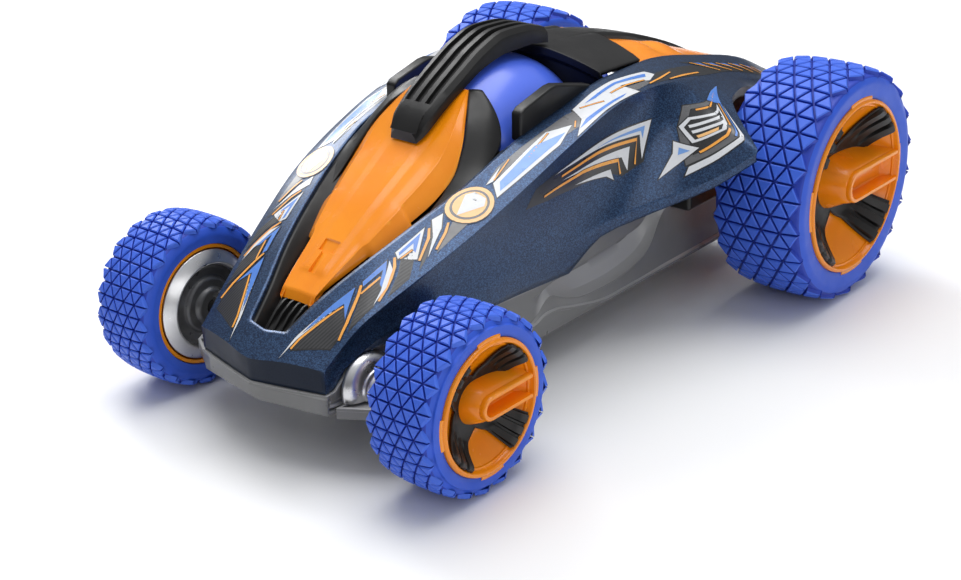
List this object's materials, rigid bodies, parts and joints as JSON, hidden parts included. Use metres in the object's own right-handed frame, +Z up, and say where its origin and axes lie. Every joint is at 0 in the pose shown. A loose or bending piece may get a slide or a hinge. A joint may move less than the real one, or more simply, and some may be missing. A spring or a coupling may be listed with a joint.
{
  "type": "radio-controlled stunt car",
  "caption": "Radio-controlled stunt car with big grooved tyres, flared fenders, a roll bar and a domed gyroscope cover; steering, wheels, gears, flywheel and switch move.",
  "frame": {"origin": "middle of the footprint on the ground, under the middle of the bounding box", "axes": "+Z up, -Y towards the nose, +X to the left-hand side of the car"},
  "size_m": [0.185, 0.2762, 0.1172],
  "materials": {
    "tyre_rubber": "matt",
    "orange_plastic": "gloss",
    "black_plastic": "satin",
    "navy_paint": "metallic gloss",
    "grey_plastic": "satin",
    "blue_gloss_plastic": "gloss",
    "silver_plating": "polished",
    "brass": "machined",
    "nylon": "satin",
    "steel": "plain",
    "circuit_board": "solder mask",
    "battery_wrap": "shrink wrap"
  },
  "bodies": {
    "chassis": {"battery_door": "grey_plastic", "battery_door_screw": "steel", "battery_pack": "battery_wrap", "body_shell": "navy_paint", "canopy_hood": "orange_plastic", "chassis_tub": "grey_plastic", "circuit_board": "circuit_board", "cockpit_surround_left": "black_plastic", "cockpit_surround_right": "black_plastic", "cockpit_tray": "black_plastic", "drive_motor": "steel", "front_arm_left": "grey_plastic", "front_arm_right": "grey_plastic", "front_boss_left": "silver_plating", "front_boss_right": "silver_plating", "gearbox_housing": "black_plastic", "gyro_dome": "blue_gloss_plastic", "gyro_frame": "steel", "gyro_motor": "steel", "kingpin_left": "steel", "kingpin_right": "steel", "power_switch": "black_plastic", "rear_bush_left": "nylon", "rear_bush_right": "nylon", "rear_deck": "black_plastic", "rear_deck_panel": "orange_plastic", "roof_spine": "black_plastic", "steering_servo": "black_plastic"},
    "wheel_front_left": {"front_left_tyre": "tyre_rubber", "front_left_rim": "orange_plastic", "front_left_spoke_insert": "black_plastic", "front_left_handle": "orange_plastic"},
    "wheel_front_right": {"front_right_tyre": "tyre_rubber", "front_right_rim": "orange_plastic", "front_right_spoke_insert": "black_plastic", "front_right_handle": "orange_plastic"},
    "knuckle_left": {"steering_knuckle_left": "black_plastic", "front_dish_left": "silver_plating", "front_wheel_screw_left": "steel"},
    "knuckle_right": {"steering_knuckle_right": "black_plastic", "front_dish_right": "silver_plating", "front_wheel_screw_right": "steel"},
    "rear_axle_set": {"rear_axle": "steel", "axle_gear": "nylon", "rear_wheel_nut_left": "steel", "rear_wheel_nut_right": "steel", "rear_left_tyre": "tyre_rubber", "rear_left_rim": "orange_plastic", "rear_left_spoke_insert": "black_plastic", "rear_left_handle": "orange_plastic", "rear_right_tyre": "tyre_rubber", "rear_right_rim": "orange_plastic", "rear_right_spoke_insert": "black_plastic", "rear_right_handle": "orange_plastic"},
    "layshaft": {"layshaft_gear": "nylon"},
    "pinion": {"motor_pinion": "brass"},
    "flywheel": {"gyro_flywheel": "brass"},
    "tie_rod": {"steering_tie_rod": "black_plastic"},
    "horn": {"servo_horn": "nylon"},
    "switch_knob": {"power_switch_knob": "orange_plastic"}
  },
  "joints": [
    {"name": "steer_left", "type": "hinge", "parent": "chassis", "child": "knuckle_left", "pos_m": [0.043, -0.10745, 0.0306], "axis": [0, 0, 1], "range_deg": [-18, 18]},
    {"name": "steer_right", "type": "hinge", "parent": "chassis", "child": "knuckle_right", "pos_m": [-0.043, -0.10745, 0.0306], "axis": [0, 0, 1], "range_deg": [-18, 18]},
    {"name": "tie_rod_slide", "type": "slide", "parent": "chassis", "child": "tie_rod", "axis": [1, 0, 0], "range_m": [-0.0056, 0.0056]},
    {"name": "servo_turn", "type": "hinge", "parent": "chassis", "child": "horn", "pos_m": [0, -0.07945, 0.035], "axis": [0, 0, 1], "range_deg": [-29, 29]},
    {"name": "spin_front_left", "type": "hinge", "parent": "knuckle_left", "child": "wheel_front_left", "pos_m": [0.066, -0.10745, 0.0306], "axis": [1, 0, 0], "continuous": true},
    {"name": "spin_front_right", "type": "hinge", "parent": "knuckle_right", "child": "wheel_front_right", "pos_m": [-0.066, -0.10745, 0.0306], "axis": [1, 0, 0], "continuous": true},
    {"name": "spin_rear", "type": "hinge", "parent": "chassis", "child": "rear_axle_set", "pos_m": [0, 0.09255, 0.0455], "axis": [1, 0, 0], "continuous": true},
    {"name": "spin_layshaft", "type": "hinge", "parent": "chassis", "child": "layshaft", "pos_m": [0, 0.0761, 0.03783], "axis": [1, 0, 0], "continuous": true},
    {"name": "spin_pinion", "type": "hinge", "parent": "chassis", "child": "pinion", "pos_m": [0, 0.06207, 0.03535], "axis": [1, 0, 0], "continuous": true},
    {"name": "spin_flywheel", "type": "hinge", "parent": "chassis", "child": "flywheel", "pos_m": [0, -0.01745, 0.068], "axis": [1, 0, 0], "continuous": true},
    {"name": "switch_slide", "type": "slide", "parent": "chassis", "child": "switch_knob", "axis": [0, 1, 0], "range_m": [0, 0.004]}
  ],
  "couplings": [
    {"joint": "steer_right", "follows": "steer_left", "ratio": 1},
    {"joint": "tie_rod_slide", "follows": "steer_left", "m_per_rad": -0.017},
    {"joint": "servo_turn", "follows": "steer_left", "ratio": -1.5455},
    {"joint": "spin_layshaft", "follows": "spin_rear", "ratio": -2.8889},
    {"joint": "spin_pinion", "follows": "spin_rear", "ratio": 8.6667}
  ]
}
